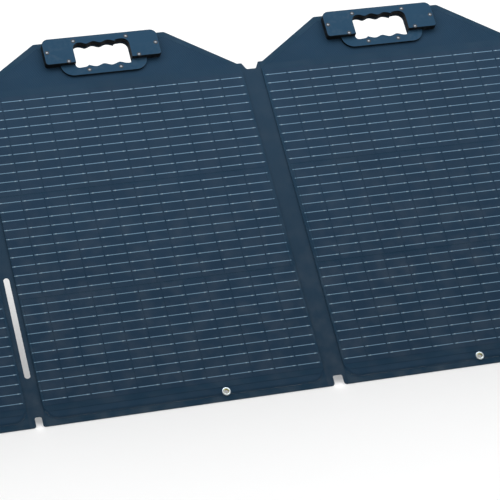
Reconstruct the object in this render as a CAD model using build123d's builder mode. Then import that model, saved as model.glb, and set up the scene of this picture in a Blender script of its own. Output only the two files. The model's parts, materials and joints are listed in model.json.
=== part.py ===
"""A folding solar suitcase: four padded panels on fabric hinges, with grips, rear stands and a junction box.

Units are millimetres. X runs along the opened kit, Z is up, and the panels lean back towards +Y.
On a panel, "across" is along X from its middle, "up" is along its face from its bottom edge,
and "height" is measured out of its back face towards the sun.
"""

from build123d import *
from math import cos, hypot, radians, sin
import os

# ---- driving dimensions -----------------------------------------------------------------------------------------

TILT = 40.0                      # lean of the opened kit, from the ground
TILT_SIN, TILT_COS = sin(radians(TILT)), cos(radians(TILT))

# solar cells: one fifth of a 182 mm square wafer, laid on edge in three rows of twelve
WAFER = 182.0
CELL_WIDTH = WAFER / 5
CELL_GAP = 1.0
CELL_PITCH = CELL_WIDTH + CELL_GAP
CELLS_IN_ROW = 12
CELL_ROWS = 3
ROW_PITCH = WAFER + 2.5
CELL_FIELD_BOTTOM = 33.7
MIDDLE_ROW_SHIFT = 3.3           # the middle row is moved over so that its tabs meet the side ribbons
FIELD_HALF = (CELLS_IN_ROW * CELL_PITCH - CELL_GAP) / 2

# panel outline
PANEL_TOP = 680.0
TOP_HALF = 112.5
SHOULDER_UP = 604.0
SHOULDER_HALF = 223.0
CREASE_HALF = 229.0              # panel middle to the fold line beside it
FREE_HALF = 235.0                # panel middle to a free, hemmed edge
FABRIC_GAP = 0.3                 # left on each side of a fold line
HEM_BOTTOM = 8.5
HEM_SLANT = 9.0
HEM_CORNER = 22.0
FREE_CORNER = 7.0
TOP_CORNER = 6.0
SLANT = (PANEL_TOP - SHOULDER_UP) / (SHOULDER_HALF - TOP_HALF)

# layers, as heights out of the back face
COVER = 0.8
HEM_FRONT = 2 * COVER
BOARD = 1.2
PLATEAU = COVER + BOARD + COVER
LAMINATE = 0.3
CELL_THICKNESS = 0.2
CELL_BACK = PLATEAU + LAMINATE
CELL_FRONT = CELL_BACK + CELL_THICKNESS

# hinge strips
OUTER_STRIP = 25.0
MIDDLE_STRIP = 33.0
NOTCH_BOTTOM = 17.5
NOTCH_SHIFT = 2.4                # the lower notch is a little off the strip's middle
FOOT_CORNER = 5.0                # rounding where the lower notch meets the bottom edge
NOTCH_TOP = 591.5
SLOT_LOW, SLOT_HIGH, SLOT_WIDTH = 83.5, 259.5, 9.5

# grips
GRIP_SHIFT = -2.5
BAR_HALF, BAR_LOW = 99.0, 631.0
BOAT_HALF, BOAT_LOW, BOAT_HIGH = 73.5, 610.3, 672.0
BOAT_CORNER = 21.0
BOAT_THICKNESS = 4.2
BAR_RISE = 11.5                  # grip bar's front face, above the panel's front
BACK_PLATE = 2.0
HOLE_HALF, HOLE_LOW, HOLE_HIGH = 48.2, 624.0, 668.0
FINGER_PITCH, FINGER_DEPTH = 12.2, 3.5
LIP_PITCH, LIP_DEPTH = 13.0, 3.8
FABRIC_HOLE_GROW = 1.5
RIVET_SPOTS = [(-45.0, 671.5), (45.0, 671.5), (-93.0, 654.0), (93.0, 654.0), (-60.0, 634.0), (60.0, 634.0)]
BOAT_RIVET_SPOTS = [(-27.0, 618.5), (27.0, 618.5)]
RIVET_SHANK = 1.2
RIVET_HOLE = 1.4
RIVET_HEAD = 2.0
RIVET_DOME = 0.6

# eyelets
EYELET_UP = 15.5
EYELET_FLANGE = 7.5
EYELET_BORE = 4.0
EYELET_WALL = 0.8
EYELET_LIP = 0.8

# rear stands
STAND_UP = 400.0                 # the stand's pivot, measured up the back
STAND_BEHIND = 4.0               # and behind the back face
STAND_ANGLE = 55.0               # from the ground, when open
STAND_WIDTH = 200.0
STAND_BOARD = 3.6
STAND_TOP_GAP = 4.0
FOOT_THICKNESS, FOOT_HEIGHT, FOOT_FLOOR = 6.6, 16.0, 2.5
STRAP_WIDTH, STRAP_THICKNESS = 20.0, 1.0
STRAP_REACH = 200.0              # from the pivot, along the panel and along the leg

# junction box and pouch on the backs
BOX_WIDTH, BOX_HEIGHT, BOX_DEPTH, BOX_LID = 110.0, 62.0, 16.0, 3.0
BOX_UP = 540.0
POUCH_WIDTH, POUCH_HEIGHT, POUCH_DEPTH, POUCH_UP = 230.0, 120.0, 16.0, 520.0

# ---- places worked out from them ---------------------------------------------------------------------------------

OUTER_PITCH = 2 * CREASE_HALF + OUTER_STRIP
MIDDLE_PITCH = 2 * CREASE_HALF + MIDDLE_STRIP
CENTRES = [-MIDDLE_PITCH / 2 - OUTER_PITCH, -MIDDLE_PITCH / 2, MIDDLE_PITCH / 2, MIDDLE_PITCH / 2 + OUTER_PITCH]
STRIPS = {
    "hinge_left": ((CENTRES[0] + CENTRES[1]) / 2, OUTER_STRIP, 5.6, 9.5, True),
    "hinge_middle": (0.0, MIDDLE_STRIP, 8.0, 14.5, False),
    "hinge_right": ((CENTRES[2] + CENTRES[3]) / 2, OUTER_STRIP, 5.6, 9.5, True),
}

pivot_y = STAND_UP * TILT_COS + STAND_BEHIND * TILT_SIN
pivot_z = STAND_UP * TILT_SIN - STAND_BEHIND * TILT_COS
leg_sin, leg_cos = sin(radians(STAND_ANGLE)), cos(radians(STAND_ANGLE))
LEG = (pivot_z - FOOT_THICKNESS / 2 * leg_cos) / leg_sin
FRONT_Y = -CELL_FRONT * TILT_SIN
BACK_Y = PANEL_TOP * TILT_COS + (BACK_PLATE + RIVET_DOME) * TILT_SIN
BASE_Y = -(FRONT_Y + BACK_Y) / 2
SUNWARD = Axis((0, 0, 0), (0, -TILT_SIN, TILT_COS))


def face_plane(across, height):
    """Plane parallel to the panels' faces, with its origin on their bottom edge."""
    base = Plane(origin=(across, BASE_Y, 0), x_dir=(1, 0, 0), z_dir=SUNWARD.direction)
    return base.offset(height)


def leg_plane(across, height):
    """Plane of an open leg: its origin is on the pivot, its Y runs up the leg, and it faces the panel's back."""
    pivot = (across, BASE_Y + pivot_y, pivot_z)
    return Plane(origin=pivot, x_dir=(1, 0, 0), z_dir=(0, -leg_sin, -leg_cos)).offset(height)


def slant_up(across, inset):
    """How far up the slanted shoulder edge is, inset square to itself."""
    return PANEL_TOP - SLANT * (across - TOP_HALF) - inset * hypot(1, SLANT)


def save(piece, label):
    piece.part.label = label
    export_step(piece.part, f"parts/{label}.step")


# ---- profiles, drawn in the sketch that is open ----------------------------------------------------------------


def draw_outline(left, right):
    """The panel's cut edge. A side at FREE_HALF is a free edge, with a rounded lower corner."""
    with BuildLine() as edge:
        Polyline(
            (-left, 0),
            (right, 0),
            (right, SHOULDER_UP),
            (SHOULDER_HALF, SHOULDER_UP),
            (TOP_HALF, PANEL_TOP),
            (-TOP_HALF, PANEL_TOP),
            (-SHOULDER_HALF, SHOULDER_UP),
            (-left, SHOULDER_UP),
            close=True,
        )
    make_face(edge.edges())
    fillet(vertices().group_by(Axis.Y)[-1], TOP_CORNER)
    for side, half in ((0, left), (-1, right)):
        if half == FREE_HALF:
            corners = vertices().group_by(Axis.X)[side].group_by(Axis.Y)
            fillet(corners[0], FREE_CORNER)


def draw_inner_outline(half, bottom, top, inset, corner):
    """An outline inside the hem, with rounded lower corners and slanted upper ones."""
    corner_across = TOP_HALF + (PANEL_TOP - top - inset * hypot(1, SLANT)) / SLANT
    with BuildLine() as edge:
        Polyline(
            (-half, bottom),
            (half, bottom),
            (half, slant_up(half, inset)),
            (corner_across, top),
            (-corner_across, top),
            (-half, slant_up(half, inset)),
            close=True,
        )
    shape = make_face(edge.edges())
    fillet(shape.vertices().group_by(Axis.Y)[0], corner)


def wave(across, pitch, level, depth):
    """Points of a finger-grip edge, from -across to across: three teeth, `depth` off `level`, between hollows."""
    middle = [(n * pitch, level + (depth if n % 2 == 0 else 0)) for n in range(-2, 3)]
    return [(-across, level), *middle, (across, level)]


def draw_hand_hole(low=HOLE_LOW, lip=LIP_DEPTH, mode=Mode.SUBTRACT):
    """The hand hole: finger hollows along its top, a shallower wave along its bottom lip."""
    top_start = 3 * FINGER_PITCH
    top_corner = HOLE_HALF - top_start
    low_corner = 6.0
    low_start = HOLE_HALF - low_corner
    with BuildLine() as edge:
        Spline(*wave(top_start, FINGER_PITCH, HOLE_HIGH, -FINGER_DEPTH), tangents=[(1, 0), (1, 0)])
        TangentArc((top_start, HOLE_HIGH), (HOLE_HALF, HOLE_HIGH - top_corner), tangent=(1, 0))
        Line((HOLE_HALF, HOLE_HIGH - top_corner), (HOLE_HALF, low + low_corner))
        TangentArc((HOLE_HALF, low + low_corner), (low_start, low), tangent=(0, -1))
        if lip:
            Spline(*reversed(wave(low_start, LIP_PITCH, low, lip)), tangents=[(-1, 0), (-1, 0)])
        else:
            Line((low_start, low), (-low_start, low))
        TangentArc((-low_start, low), (-HOLE_HALF, low + low_corner), tangent=(-1, 0))
        Line((-HOLE_HALF, low + low_corner), (-HOLE_HALF, HOLE_HIGH - top_corner))
        TangentArc((-HOLE_HALF, HOLE_HIGH - top_corner), (-top_start, HOLE_HIGH), tangent=(0, 1))
    make_face(edge.edges(), mode=mode)


def draw_bar(half, low, high, top_corner, low_corner):
    """A plate with rounded corners, larger at its top."""
    with Locations((0, (low + high) / 2)):
        Rectangle(2 * half, high - low)
    fillet(vertices().group_by(Axis.Y)[-1], top_corner)
    fillet(vertices().group_by(Axis.Y)[0], low_corner)


def draw_boat(grow):
    """The lower grip plate, grown all round by `grow` to make its pocket."""
    draw_bar(BOAT_HALF + grow, BOAT_LOW - grow, BOAT_HIGH + grow, 8.0 + grow, BOAT_CORNER + grow)


def cut_through_soft_layers(centre, eyelet_across, depth_from, depth_to, eyelet_hole):
    """Cuts the hand hole, the rivet holes and the eyelet hole through the open part."""
    hole_half = HOLE_HALF + FABRIC_HOLE_GROW
    hole_low, hole_high = HOLE_LOW - FABRIC_HOLE_GROW, HOLE_HIGH + FABRIC_HOLE_GROW
    with BuildSketch(face_plane(centre + GRIP_SHIFT, depth_from)) as grip_holes:
        with Locations((0, (hole_low + hole_high) / 2)):
            RectangleRounded(2 * hole_half, hole_high - hole_low, 9.0)
        with Locations(*RIVET_SPOTS, *BOAT_RIVET_SPOTS):
            Circle(RIVET_HOLE)
    with BuildSketch(face_plane(centre, depth_from)) as eyelet_holes:
        with Locations((eyelet_across, EYELET_UP)):
            Circle(eyelet_hole)
    for holes in (grip_holes, eyelet_holes):
        extrude(holes.sketch, amount=depth_to - depth_from, mode=Mode.SUBTRACT)


# ---- panel pieces -----------------------------------------------------------------------------------------------


def make_covers_and_core(number, centre, left, right, eyelet_across):
    """The back cover, the stiffening board and the front cover that is pressed over it."""
    with BuildPart() as back_cover:
        with BuildSketch(face_plane(centre, 0)):
            draw_outline(left, right)
        extrude(amount=COVER)
        cut_through_soft_layers(centre, eyelet_across, 0, COVER, EYELET_BORE + EYELET_WALL)
    save(back_cover, f"back_cover_{number}")

    with BuildPart() as core_board:
        with BuildSketch(face_plane(centre, COVER)):
            draw_inner_outline(CREASE_HALF - 2.5, HEM_BOTTOM + 2, PANEL_TOP - HEM_SLANT - 2, HEM_SLANT + 2, 20.0)
        extrude(amount=BOARD)
        cut_through_soft_layers(centre, eyelet_across, COVER, COVER + BOARD, EYELET_FLANGE)
    save(core_board, f"core_board_{number}")

    with BuildPart() as front_cover:
        with BuildSketch(face_plane(centre, COVER)):
            draw_outline(left, right)
        extrude(amount=HEM_FRONT - COVER)
        with BuildSketch(face_plane(centre, HEM_FRONT)):
            draw_inner_outline(CREASE_HALF - 0.5, HEM_BOTTOM, PANEL_TOP - HEM_SLANT, HEM_SLANT, HEM_CORNER)
        extrude(amount=PLATEAU - HEM_FRONT)
        with BuildSketch(face_plane(centre, COVER)):
            draw_inner_outline(CREASE_HALF - 2.4, HEM_BOTTOM + 1.9, PANEL_TOP - HEM_SLANT - 1.9, HEM_SLANT + 1.9, 20.1)
        extrude(amount=BOARD, mode=Mode.SUBTRACT)
        cut_through_soft_layers(centre, eyelet_across, COVER, PLATEAU, EYELET_BORE + EYELET_WALL)
    save(front_cover, f"front_cover_{number}")


def make_laminate(number, centre):
    """The backing sheet that carries the cells."""
    with BuildPart() as laminate:
        with BuildSketch(face_plane(centre, PLATEAU)):
            draw_inner_outline(CREASE_HALF - 0.6, CELL_FIELD_BOTTOM - 10, 597.0, HEM_SLANT + 1, 12.0)
        extrude(amount=LAMINATE)
    save(laminate, f"laminate_{number}")


def row_bottom(row):
    return CELL_FIELD_BOTTOM + row * ROW_PITCH


def make_cells(number, centre, mirror_sign):
    """Thirty-six strip cells in three rows; the middle row is moved over."""
    with BuildPart() as cells:
        for row in range(CELL_ROWS):
            shift = -mirror_sign * MIDDLE_ROW_SHIFT if row == 1 else 0.0
            with BuildSketch(face_plane(centre + shift, CELL_BACK)):
                with Locations((0, row_bottom(row) + WAFER / 2)):
                    with GridLocations(CELL_PITCH, 0, CELLS_IN_ROW, 1):
                        Rectangle(CELL_WIDTH, WAFER)
            extrude(amount=CELL_THICKNESS)
    save(cells, f"cells_{number}")


def make_ribbons(number, centre, mirror_sign):
    """The flat tinned ribbons that join the rows at their ends."""
    width = 3.0
    outer = FIELD_HALF + 0.5 + width / 2
    inner = FIELD_HALF - MIDDLE_ROW_SHIFT + 0.5 + width / 2
    runs = (
        (-outer, row_bottom(0), row_bottom(0) + WAFER + 2),
        (outer, row_bottom(0), row_bottom(0) + WAFER),
        (inner, row_bottom(1), row_bottom(1) + WAFER + 2),
        (-outer, row_bottom(2), row_bottom(2) + WAFER),
    )
    with BuildPart() as ribbons:
        with BuildSketch(face_plane(centre, CELL_BACK)):
            for across, low, high in runs:
                with Locations((mirror_sign * across, (low + high) / 2)):
                    Rectangle(width, high - low)
        extrude(amount=CELL_THICKNESS)
    save(ribbons, f"ribbons_{number}")


def make_grip(number, centre):
    """The grip: a thick bar in front, the thinner boat plate under it, a plate behind, and eight rivets."""
    grip = centre + GRIP_SHIFT
    boat_front = PLATEAU + BOAT_THICKNESS
    bar_front = PLATEAU + BAR_RISE

    with BuildPart() as grip_bar:
        with BuildSketch(face_plane(grip, PLATEAU)):
            draw_bar(BAR_HALF, BAR_LOW, PANEL_TOP, 12.0, 5.0)
        extrude(amount=BAR_RISE)
        chamfer(grip_bar.faces().sort_by(SUNWARD)[-1].edges(), 0.6)
        with BuildSketch(face_plane(grip, PLATEAU)):
            draw_boat(0.2)
        extrude(amount=BOAT_THICKNESS, mode=Mode.SUBTRACT)
        with BuildSketch(face_plane(grip, PLATEAU)):
            draw_hand_hole(low=HOLE_LOW - 10, lip=0, mode=Mode.ADD)
        extrude(amount=BAR_RISE, mode=Mode.SUBTRACT)
        with BuildSketch(face_plane(grip, PLATEAU)):
            with Locations(*RIVET_SPOTS):
                Circle(RIVET_HOLE)
        extrude(amount=BAR_RISE, mode=Mode.SUBTRACT)
    save(grip_bar, f"grip_bar_{number}")

    with BuildPart() as boat_plate:
        with BuildSketch(face_plane(grip, PLATEAU)):
            draw_boat(0)
            draw_hand_hole()
            with Locations(*RIVET_SPOTS, *BOAT_RIVET_SPOTS):
                Circle(RIVET_HOLE, mode=Mode.SUBTRACT)
        extrude(amount=BOAT_THICKNESS)
    save(boat_plate, f"boat_plate_{number}")

    with BuildPart() as back_plate:
        with BuildSketch(face_plane(grip, -BACK_PLATE)):
            draw_bar(BAR_HALF, BOAT_LOW, PANEL_TOP, 12.0, BOAT_CORNER)
            draw_hand_hole()
            with Locations(*RIVET_SPOTS, *BOAT_RIVET_SPOTS):
                Circle(RIVET_HOLE, mode=Mode.SUBTRACT)
        extrude(amount=BACK_PLATE)
    save(back_plate, f"back_plate_{number}")

    with BuildPart() as rivets:
        for spots, front in ((RIVET_SPOTS, bar_front), (BOAT_RIVET_SPOTS, boat_front)):
            for height, length, radius in (
                (-BACK_PLATE - RIVET_DOME, RIVET_DOME, RIVET_HEAD),
                (-BACK_PLATE, front + BACK_PLATE, RIVET_SHANK),
                (front, RIVET_DOME, RIVET_HEAD),
            ):
                with BuildSketch(face_plane(grip, height)):
                    with Locations(*spots):
                        Circle(radius)
                extrude(amount=length)
    save(rivets, f"rivets_{number}")


def make_eyelet(number, centre, eyelet_across):
    """A two-part metal eyelet, clenched over both covers."""
    spot = Location((eyelet_across, EYELET_UP))
    with BuildPart() as eyelet:
        for height, length, radius in (
            (-EYELET_LIP, EYELET_LIP, EYELET_FLANGE),
            (0, PLATEAU, EYELET_BORE + EYELET_WALL),
            (PLATEAU, EYELET_LIP, EYELET_FLANGE),
        ):
            with BuildSketch(face_plane(centre, height)):
                with Locations(spot):
                    Circle(radius)
            extrude(amount=length)
        with BuildSketch(face_plane(centre, -EYELET_LIP)):
            with Locations(spot):
                Circle(EYELET_BORE)
        extrude(amount=PLATEAU + 2 * EYELET_LIP, mode=Mode.SUBTRACT)
    save(eyelet, f"eyelet_{number}")


# ---- hinges -----------------------------------------------------------------------------------------------------


def make_strip(label, centre, width, notch_half, notch_top_half, slotted):
    """A fabric hinge strip between two fold lines, notched at both ends."""
    half = width / 2 - FABRIC_GAP
    with BuildPart() as strip:
        with BuildSketch(face_plane(centre, 0)):
            with BuildLine():
                Polyline(
                    (-half, 0),
                    (NOTCH_SHIFT - notch_half, 0),
                    (NOTCH_SHIFT - notch_half, NOTCH_BOTTOM),
                    (NOTCH_SHIFT + notch_half, NOTCH_BOTTOM),
                    (NOTCH_SHIFT + notch_half, 0),
                    (half, 0),
                    (half, SHOULDER_UP),
                    (notch_top_half, SHOULDER_UP),
                    (notch_half, NOTCH_TOP),
                    (-notch_half, NOTCH_TOP),
                    (-notch_top_half, SHOULDER_UP),
                    (-half, SHOULDER_UP),
                    close=True,
                )
            make_face()
            fillet(vertices().filter_by_position(Axis.Y, NOTCH_BOTTOM - 1, NOTCH_TOP + 1), 3.0)
            feet = vertices().group_by(Axis.Y)[0].sort_by(Axis.X)
            fillet(feet[1:3], min(FOOT_CORNER, half - notch_half - NOTCH_SHIFT - 0.5))
            if slotted:
                with Locations((0, (SLOT_LOW + SLOT_HIGH) / 2)):
                    SlotOverall(SLOT_HIGH - SLOT_LOW, SLOT_WIDTH, rotation=90, mode=Mode.SUBTRACT)
        extrude(amount=HEM_FRONT)
    save(strip, label)


# ---- stands -----------------------------------------------------------------------------------------------------


def make_stand(side, centre):
    """A rear stand: a covered board, its rubber foot, the tape that hangs it and the strap that stops it."""
    board_low = -LEG + FOOT_FLOOR
    with BuildPart() as board:
        with BuildSketch(leg_plane(centre, -STAND_BOARD / 2)):
            with Locations((0, (board_low - STAND_TOP_GAP) / 2)):
                RectangleRounded(STAND_WIDTH, -STAND_TOP_GAP - board_low, 8.0)
        extrude(amount=STAND_BOARD)
    save(board, f"stand_board_{side}")

    with BuildPart() as foot:
        with BuildSketch(leg_plane(centre, -FOOT_THICKNESS / 2)):
            with Locations((0, -LEG + FOOT_HEIGHT / 2)):
                Rectangle(STAND_WIDTH - 30, FOOT_HEIGHT)
        extrude(amount=FOOT_THICKNESS)
        with BuildSketch(leg_plane(centre, -STAND_BOARD / 2)):
            with Locations((0, board_low + FOOT_HEIGHT / 2)):
                Rectangle(STAND_WIDTH, FOOT_HEIGHT)
        extrude(amount=STAND_BOARD, mode=Mode.SUBTRACT)
    save(foot, f"stand_foot_{side}")

    tape_height = 30.0
    tape_thickness = 1.0
    with BuildPart() as tape:
        with BuildSketch(face_plane(centre, -tape_thickness)):
            with Locations((0, STAND_UP + STAND_TOP_GAP + tape_height / 2)):
                Rectangle(STAND_WIDTH, tape_height)
        extrude(amount=tape_thickness)
    save(tape, f"stand_tape_{side}")

    panel_end = Vector(0, BASE_Y + (STAND_UP - STRAP_REACH) * TILT_COS, (STAND_UP - STRAP_REACH) * TILT_SIN)
    leg_end = Vector(
        0,
        BASE_Y + pivot_y + STRAP_REACH * leg_cos - (STAND_BOARD / 2) * leg_sin,
        pivot_z - STRAP_REACH * leg_sin - (STAND_BOARD / 2) * leg_cos,
    )
    run = leg_end - panel_end
    strap_gap = 1.5
    start = panel_end + run.normalized() * strap_gap
    with BuildPart() as strap:
        with BuildSketch(Plane(origin=start + Vector(centre, 0, 0), x_dir=(1, 0, 0), z_dir=run.normalized())):
            Rectangle(STRAP_WIDTH, STRAP_THICKNESS)
        extrude(amount=run.length - 2 * strap_gap)
    save(strap, f"stand_strap_{side}")


# ---- junction box and pouch ---------------------------------------------------------------------------------------


def make_junction_box(centre):
    """The junction box on the last panel's back: a base tray, a lid and two output sockets in its outer side."""
    wall = 2.0
    tray_depth = BOX_DEPTH - BOX_LID
    with BuildPart() as box:
        with BuildSketch(face_plane(centre, -tray_depth)):
            with Locations((0, BOX_UP)):
                RectangleRounded(BOX_WIDTH, BOX_HEIGHT, 6.0)
        extrude(amount=tray_depth)
        with BuildSketch(face_plane(centre, -tray_depth)):
            with Locations((0, BOX_UP)):
                RectangleRounded(BOX_WIDTH - 2 * wall, BOX_HEIGHT - 2 * wall, 4.0)
        extrude(amount=tray_depth - wall, mode=Mode.SUBTRACT)
    save(box, "junction_box")

    with BuildPart() as lid:
        with BuildSketch(face_plane(centre, -BOX_DEPTH)):
            with Locations((0, BOX_UP)):
                RectangleRounded(BOX_WIDTH, BOX_HEIGHT, 6.0)
        extrude(amount=BOX_LID)
        chamfer(lid.faces().sort_by(SUNWARD)[0].edges(), 1.0)
    save(lid, "junction_lid")

    socket_outer, socket_bore, socket_length, socket_depth = 4.5, 2.8, 9.0, 6.5
    socket_pitch = 34.0
    side_face = Plane(
        origin=face_plane(centre, -tray_depth / 2).from_local_coords(Vector(BOX_WIDTH / 2, BOX_UP, 0)),
        x_dir=(0, TILT_COS, TILT_SIN),
        z_dir=(1, 0, 0),
    )
    with BuildPart() as sockets:
        with BuildSketch(side_face):
            with GridLocations(socket_pitch, 0, 2, 1):
                Circle(socket_outer)
        extrude(amount=socket_length)
        with BuildSketch(side_face.offset(socket_length - socket_depth)):
            with GridLocations(socket_pitch, 0, 2, 1):
                Circle(socket_bore)
        extrude(amount=socket_depth, mode=Mode.SUBTRACT)
    save(sockets, "output_sockets")


def make_pouch(centre):
    """The zipped lead pouch on the first panel's back, as its closed, filled outer shape."""
    with BuildPart() as pouch:
        with BuildSketch(face_plane(centre, -POUCH_DEPTH)):
            with Locations((0, POUCH_UP)):
                RectangleRounded(POUCH_WIDTH - 16, POUCH_HEIGHT - 16, 8.0)
        with BuildSketch(face_plane(centre, 0)):
            with Locations((0, POUCH_UP)):
                RectangleRounded(POUCH_WIDTH, POUCH_HEIGHT, 12.0)
        loft()
    save(pouch, "lead_pouch")


# ---- the whole kit ------------------------------------------------------------------------------------------------

os.makedirs("parts", exist_ok=True)

crease_side = CREASE_HALF - FABRIC_GAP
panels = (
    (1, FREE_HALF, crease_side, 0.0, 1),
    (2, crease_side, crease_side, 62.9, 1),
    (3, crease_side, crease_side, 0.0, -1),
    (4, crease_side, FREE_HALF, 0.0, -1),
)
for number, left, right, eyelet_across, mirror_sign in panels:
    centre = CENTRES[number - 1]
    make_covers_and_core(number, centre, left, right, eyelet_across)
    make_laminate(number, centre)
    make_cells(number, centre, mirror_sign)
    make_ribbons(number, centre, mirror_sign)
    make_grip(number, centre)
    make_eyelet(number, centre, eyelet_across)

for label, (centre, width, notch_half, notch_top_half, slotted) in STRIPS.items():
    make_strip(label, centre, width, notch_half, notch_top_half, slotted)

make_stand("left", CENTRES[0])
make_stand("right", CENTRES[3])
make_junction_box(CENTRES[3])
make_pouch(CENTRES[0])
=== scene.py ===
"""Looks of a folding solar suitcase: cloth covers, cells and wires, fabric hinges, grips, rear stands and fittings."""

import json
import math

import bpy
import numpy as np
from bpy.props import FloatProperty, FloatVectorProperty, IntProperty, PointerProperty
from mathutils import Matrix, Vector
from mathutils.geometry import delaunay_2d_cdt


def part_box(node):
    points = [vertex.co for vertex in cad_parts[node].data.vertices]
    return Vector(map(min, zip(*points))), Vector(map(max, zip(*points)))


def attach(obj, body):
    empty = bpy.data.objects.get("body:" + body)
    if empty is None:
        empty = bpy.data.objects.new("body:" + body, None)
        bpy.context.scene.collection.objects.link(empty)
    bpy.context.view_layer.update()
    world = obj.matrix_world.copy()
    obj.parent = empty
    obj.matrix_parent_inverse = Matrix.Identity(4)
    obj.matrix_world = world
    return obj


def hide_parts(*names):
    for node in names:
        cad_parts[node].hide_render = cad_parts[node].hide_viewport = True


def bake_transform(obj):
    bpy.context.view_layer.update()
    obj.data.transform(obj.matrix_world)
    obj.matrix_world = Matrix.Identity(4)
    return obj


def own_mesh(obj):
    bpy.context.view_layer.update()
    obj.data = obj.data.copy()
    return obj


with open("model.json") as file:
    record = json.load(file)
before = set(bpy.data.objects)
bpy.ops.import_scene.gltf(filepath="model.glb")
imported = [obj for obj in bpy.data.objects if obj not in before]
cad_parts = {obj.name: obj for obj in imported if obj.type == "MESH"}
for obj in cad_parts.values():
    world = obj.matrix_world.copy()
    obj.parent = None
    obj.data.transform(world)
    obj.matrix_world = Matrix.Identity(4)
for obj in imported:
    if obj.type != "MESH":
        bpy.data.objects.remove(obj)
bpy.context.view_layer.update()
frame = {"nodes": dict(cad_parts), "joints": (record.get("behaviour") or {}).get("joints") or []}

bl_info = {
    "name": "Solar suitcase kit",
    "version": (1, 0, 0),
    "blender": (4, 5, 0),
    "location": "View3D > Sidebar > Solar kit",
    "description": "Builds the soft and fine pieces of a folding solar suitcase around its frame",
    "category": "Object",
}

MM = 0.001
NODES = frame["nodes"]
JOINTS = {joint["name"]: joint for joint in frame["joints"]}

# Directions on the opened kit: along it, up the panels' faces, and out of their sun side.
ACROSS = Vector((1, 0, 0))
UP = Vector(JOINTS["fold_middle_right"]["axis"]).normalized()
OUT = ACROSS.cross(UP)
TILT = math.atan2(UP.z, UP.y)

PANELS = (1, 2, 3, 4)
CENTRE = {k: (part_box(f"laminate_{k}")[0].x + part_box(f"laminate_{k}")[1].x) / 2 for k in PANELS}
COVER = 0.8 * MM
BASE = Vector((0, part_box("back_cover_2")[0].y - COVER * OUT.y, 0))


# ---- sizes and colours that a user may change ------------------------------------------------------------------------


def length(name, description, default):
    return FloatProperty(name=name, description=description, default=default, min=0, unit="LENGTH", precision=5)


def colour(name, description, default):
    return FloatVectorProperty(
        name=name, description=description, default=default, size=3, subtype="COLOR", min=0, max=1
    )


class SolarKitSizes(bpy.types.PropertyGroup):
    """Sizes of the pieces that are added to the frame."""

    ridge: length("Ridge height", "Height of the pressed ridge round each panel", 3.1 * MM)
    wire_width: length("Wire width", "Width of the tinned wires on the cells", 1.35 * MM)
    wire_rise: length("Wire rise", "How far the wires stand out of the film", 0.16 * MM)
    wire_count: IntProperty(name="Wires on a cell", description="Wires across each row of cells", default=11, min=1)
    pad_length: length("Solder pad", "Length of the bright pad near each wire's end", 3.0 * MM)
    stitch: length("Stitch length", "Length of one stitch in the seams on the back", 2.6 * MM)
    pouch_fill: FloatProperty(
        name="Pouch fill", description="How full the lead pouch is", default=0.5, min=0, max=1, subtype="FACTOR"
    )


class SolarKitColours(bpy.types.PropertyGroup):
    """Colours of the finishes, as linear values."""

    panel: colour("Panel cloth", "Coated cloth above and round the cells", (0.0080, 0.0220, 0.0402))
    hem: colour("Hem", "Pressed hem round each panel", (0.0084, 0.0234, 0.0408))
    hinge: colour("Hinge cloth", "Cloth of the hinges between the panels", (0.0114, 0.0250, 0.0420))
    back: colour("Back cloth", "Cloth on the backs", (0.016, 0.024, 0.034))
    field: colour("Field sheet", "Dark sheet that carries the cells", (0.0082, 0.0223, 0.0398))
    cell: colour("Cells", "Cells seen through the clear film", (0.0100, 0.0236, 0.0425))
    wire: colour("Wires", "Tinned wires seen through the film", (0.085, 0.140, 0.190))
    pad: colour("Solder pads", "Bright solder pads on the wires", (0.135, 0.190, 0.230))
    # The grip's two colours are lit and shaded copies of one plastic: the face's blue-grey is a painted sky reflection,
    # and the near-black is painted shade on the grips' sides and round their rivets.
    grip: colour("Grip face", "Fine-textured face of the grips", (0.0087, 0.0276, 0.0505))
    grip_painted_shade: colour("Grip painted shade", "Smooth moulded edges of the grips", (0.003, 0.004, 0.005))
    metal: colour("Bright metal", "Screws and the eyelets' flanges", (0.36, 0.39, 0.40))
    rivet: colour("Rivets", "Dull metal of the rivets", (0.14, 0.145, 0.16))
    brass: colour("Brass", "Barrels of the eyelets", (0.34, 0.30, 0.06))
    stand: colour("Stand cloth", "Cloth on the rear stands", (0.014, 0.018, 0.023))
    black: colour("Black parts", "Rubber, webbing and moulded fittings", (0.010, 0.011, 0.012))
    thread: colour("Thread", "Sewing thread on the backs", (0.05, 0.055, 0.06))
    floor: colour("Floor", "Floor under the kit", (0.895, 0.895, 0.895))


def kit_collection():
    found = bpy.data.collections.get("kit")
    if found is None:
        found = bpy.data.collections.new("kit")
        for node in NODES.values():
            found.objects.link(node)
    return found


def sizes():
    return bpy.context.scene.solar_kit_sizes


def colours():
    return bpy.context.scene.solar_kit_colours



class Lay:
    """A flat working plane: points are given as across, up and height, and laid out in the row frame."""

    def __init__(self, origin, up, out):
        self.origin, self.up, self.out = Vector(origin), Vector(up), Vector(out)

    def put(self, points):
        points = np.asarray(points, float)
        axes = np.array([ACROSS, self.up, self.out])
        return points @ axes + np.array(self.origin)

    def read(self, point):
        offset = Vector(point) - self.origin
        return offset.dot(ACROSS), offset.dot(self.up), offset.dot(self.out)


def panel_lay(number):
    return Lay(BASE + ACROSS * CENTRE[number], UP, OUT)


def strip_lay(label):
    low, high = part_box(label)
    return Lay(BASE + ACROSS * (low.x + high.x) / 2, UP, OUT)


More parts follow.
